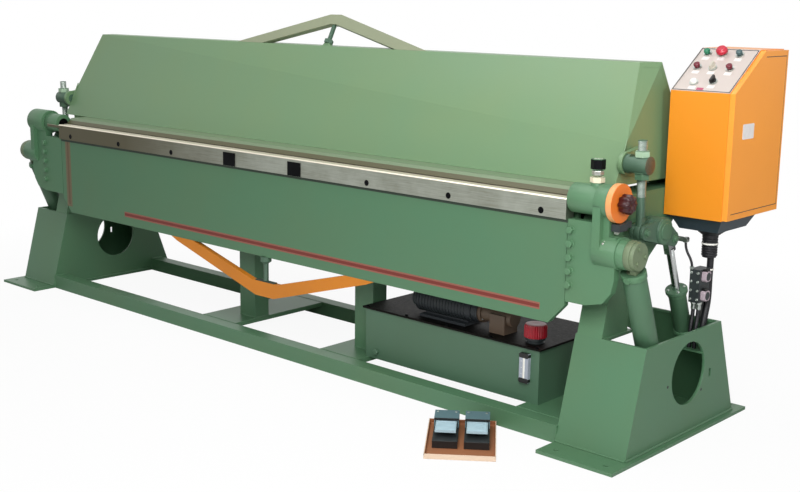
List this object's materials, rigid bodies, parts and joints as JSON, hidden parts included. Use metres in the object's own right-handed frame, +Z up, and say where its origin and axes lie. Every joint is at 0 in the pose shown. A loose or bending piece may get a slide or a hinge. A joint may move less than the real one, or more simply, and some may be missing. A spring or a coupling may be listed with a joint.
{
  "type": "hydraulic sheet metal brake",
  "caption": "Floor-standing hydraulic folding brake: long bed, clamping leaf, swinging apron, end cylinders, oil tank, control box and foot switches.",
  "frame": {"origin": "middle of the front floor rail's underside, midway between the two legs, at floor level", "axes": "+X along the bed to the control box end, +Y from the operator to the back, +Z up"},
  "size_m": [3.803, 1.2551, 1.4203],
  "materials": {
    "bezel_metal": "satin",
    "button_green_paint": "glossy",
    "button_grey_paint": "glossy",
    "button_red_paint": "glossy",
    "cap_red": "glossy",
    "cast_green": "painted casting",
    "conduit_grey": "matte",
    "cylinder_green": "semi-gloss enamel",
    "dark_steel": "blackened",
    "dial_orange": "gloss enamel",
    "gauge_pale": "clear over pale",
    "ground_steel": "ground, worn",
    "hose_black": "matte",
    "knob_maroon": "glossy",
    "lid_grey": "oiled",
    "machine_green": "semi-gloss enamel",
    "motor_dark": "painted",
    "orange_paint": "gloss enamel",
    "pedal_blue": "satin",
    "rod_chrome": "polished",
    "selector_black": "matte",
    "selector_pale": "matte",
    "stop_red": "glossy",
    "switch_dark": "painted",
    "tank_green": "enamel",
    "tray_steel": "worn",
    "treadle_blue": "satin",
    "valve_steel": "matte"
  },
  "bodies": {
    "base": {"leg_left": "machine_green", "leg_right": "machine_green", "front_rail": "machine_green", "rear_rail": "machine_green", "cross_members": "machine_green", "posts": "machine_green", "bed_beam": "machine_green", "bed_bar": "ground_steel", "end_housing_left": "cast_green", "end_housing_right": "cast_green", "hinge_pins": "dark_steel", "oil_tank": "tank_green", "tank_lid": "lid_grey", "pump_motor": "motor_dark", "filler_cap": "cap_red", "level_gauge": "gauge_pale", "valve_block": "valve_steel", "hoses": "hose_black", "conduits": "conduit_grey", "control_box": "orange_paint", "control_panel": "bezel_metal", "control_bracket": "machine_green", "limit_switch": "switch_dark", "pedal_tray": "tray_steel", "foot_switches": "pedal_blue", "bend_barrel_left": "cylinder_green", "bend_barrel_right": "cylinder_green"},
    "door": {"control_door": "orange_paint"},
    "apron": {"apron_bar": "ground_steel", "bar_screws": "dark_steel", "apron_plate": "machine_green", "apron_casting_left": "cast_green", "apron_casting_right": "cast_green", "casting_bolts": "cast_green", "apron_truss": "orange_paint"},
    "dial": {"angle_cam": "dial_orange", "angle_knob": "knob_maroon"},
    "leaf": {"leaf_plate": "machine_green", "leaf_brace": "machine_green", "nose_bar": "ground_steel", "leaf_truss": "machine_green"},
    "torque_shaft": {"clamp_shaft": "cast_green"},
    "clamp_screw_left_body": {"clamp_screw_left": "ground_steel"},
    "clamp_barrel_left_body": {"clamp_barrel_left": "cylinder_green"},
    "clamp_piston_left_body": {"clamp_piston_left": "rod_chrome"},
    "bend_rod_left_body": {"bend_rod_left": "rod_chrome"},
    "clamp_screw_right_body": {"clamp_screw_right": "ground_steel"},
    "clamp_barrel_right_body": {"clamp_barrel_right": "cylinder_green"},
    "clamp_piston_right_body": {"clamp_piston_right": "rod_chrome"},
    "bend_rod_right_body": {"bend_rod_right": "rod_chrome"},
    "button_green_body": {"button_green": "button_green_paint"},
    "button_grey_body": {"button_grey": "button_grey_paint"},
    "button_red_1_body": {"button_red_1": "button_red_paint"},
    "button_red_2_body": {"button_red_2": "button_red_paint"},
    "estop_body": {"estop": "stop_red"},
    "selector_1_body": {"selector_1": "selector_pale"},
    "selector_2_body": {"selector_2": "selector_black"},
    "treadle_left_body": {"treadle_left": "treadle_blue"},
    "treadle_right_body": {"treadle_right": "treadle_blue"}
  },
  "joints": [
    {"name": "apron_swing", "type": "hinge", "parent": "base", "child": "apron", "pos_m": [0, 0.0075, 0.855], "axis": [-1, 0, 0], "range_deg": [0, 135]},
    {"name": "leaf_lift", "type": "hinge", "parent": "base", "child": "leaf", "pos_m": [0, 0.5825, 0.84], "axis": [-1, 0, 0], "range_deg": [0, 6]},
    {"name": "shaft_turn", "type": "hinge", "parent": "base", "child": "torque_shaft", "pos_m": [0, 0.2865, 0.727], "axis": [-1, 0, 0], "range_deg": [0, 23.3]},
    {"name": "dial_turn", "type": "hinge", "parent": "apron", "child": "dial", "pos_m": [1.753, 0.0075, 0.855], "axis": [-1, 0, 0], "range_deg": [0, 120]},
    {"name": "door_swing", "type": "hinge", "parent": "base", "child": "door", "pos_m": [1.915, 0.7955, 1.048], "axis": [0, 0, 1], "range_deg": [0, 110]},
    {"name": "screw_tilt_left", "type": "hinge", "parent": "leaf", "child": "clamp_screw_left_body", "pos_m": [-1.735, 0.1675, 0.962], "axis": [-1, 0, 0], "range_deg": [-6.05, 0]},
    {"name": "barrel_tilt_left", "type": "hinge", "parent": "base", "child": "clamp_barrel_left_body", "pos_m": [-1.735, 0.5275, 0.29], "axis": [-1, 0, 0], "range_deg": [-4.15, 0]},
    {"name": "piston_draw_left", "type": "slide", "parent": "clamp_barrel_left_body", "child": "clamp_piston_left_body", "axis": [0, -0.3794, 0.9253], "range_m": [-0.0166, 0]},
    {"name": "bend_stroke_left", "type": "slide", "parent": "base", "child": "bend_rod_left_body", "axis": [0, -0.3827, 0.9239], "range_m": [0, 0.3013]},
    {"name": "screw_tilt_right", "type": "hinge", "parent": "leaf", "child": "clamp_screw_right_body", "pos_m": [1.735, 0.1675, 0.962], "axis": [-1, 0, 0], "range_deg": [-6.05, 0]},
    {"name": "barrel_tilt_right", "type": "hinge", "parent": "base", "child": "clamp_barrel_right_body", "pos_m": [1.735, 0.5275, 0.29], "axis": [-1, 0, 0], "range_deg": [-4.15, 0]},
    {"name": "piston_draw_right", "type": "slide", "parent": "clamp_barrel_right_body", "child": "clamp_piston_right_body", "axis": [0, -0.3794, 0.9253], "range_m": [-0.0166, 0]},
    {"name": "bend_stroke_right", "type": "slide", "parent": "base", "child": "bend_rod_right_body", "axis": [0, -0.3827, 0.9239], "range_m": [0, 0.3013]},
    {"name": "press_button_green", "type": "slide", "parent": "base", "child": "button_green_body", "axis": [0, 0.5669, -0.8238], "range_m": [0, 0.004], "stiffness_N_per_m": 400},
    {"name": "press_button_grey", "type": "slide", "parent": "base", "child": "button_grey_body", "axis": [0, 0.5669, -0.8238], "range_m": [0, 0.004], "stiffness_N_per_m": 400},
    {"name": "press_button_red_1", "type": "slide", "parent": "base", "child": "button_red_1_body", "axis": [0, 0.5669, -0.8238], "range_m": [0, 0.004], "stiffness_N_per_m": 400},
    {"name": "press_button_red_2", "type": "slide", "parent": "base", "child": "button_red_2_body", "axis": [0, 0.5669, -0.8238], "range_m": [0, 0.004], "stiffness_N_per_m": 400},
    {"name": "press_estop", "type": "slide", "parent": "base", "child": "estop_body", "axis": [0, 0.5669, -0.8238], "range_m": [0, 0.004], "stiffness_N_per_m": 400},
    {"name": "turn_selector_1", "type": "hinge", "parent": "base", "child": "selector_1_body", "pos_m": [1.78, 0.52059, 1.2697], "axis": [0, -0.5669, 0.8238], "range_deg": [-45, 45]},
    {"name": "turn_selector_2", "type": "hinge", "parent": "base", "child": "selector_2_body", "pos_m": [1.817, 0.45881, 1.22718], "axis": [0, -0.5669, 0.8238], "range_deg": [-45, 45]},
    {"name": "press_treadle_left", "type": "hinge", "parent": "base", "child": "treadle_left_body", "pos_m": [1.24416, -0.22186, 0.046], "axis": [0.7891, 0.6143, 0], "range_deg": [0, 5], "stiffness_Nm_per_rad": 40, "springref_deg": -2.86},
    {"name": "press_treadle_right", "type": "hinge", "parent": "base", "child": "treadle_right_body", "pos_m": [1.32938, -0.15551, 0.046], "axis": [0.7891, 0.6143, 0], "range_deg": [0, 5], "stiffness_Nm_per_rad": 40, "springref_deg": -2.86}
  ],
  "couplings": [
    {"joint": "shaft_turn", "follows": "leaf_lift", "ratio": 3.87},
    {"joint": "screw_tilt_left", "follows": "leaf_lift", "ratio": -1},
    {"joint": "barrel_tilt_left", "follows": "leaf_lift", "ratio": -0.682},
    {"joint": "piston_draw_left", "follows": "leaf_lift", "m_per_rad": -0.15663},
    {"joint": "bend_stroke_left", "follows": "apron_swing", "m_per_rad": 0.12783},
    {"joint": "screw_tilt_right", "follows": "leaf_lift", "ratio": -1},
    {"joint": "barrel_tilt_right", "follows": "leaf_lift", "ratio": -0.682},
    {"joint": "piston_draw_right", "follows": "leaf_lift", "m_per_rad": -0.15663},
    {"joint": "bend_stroke_right", "follows": "apron_swing", "m_per_rad": 0.12783}
  ]
}
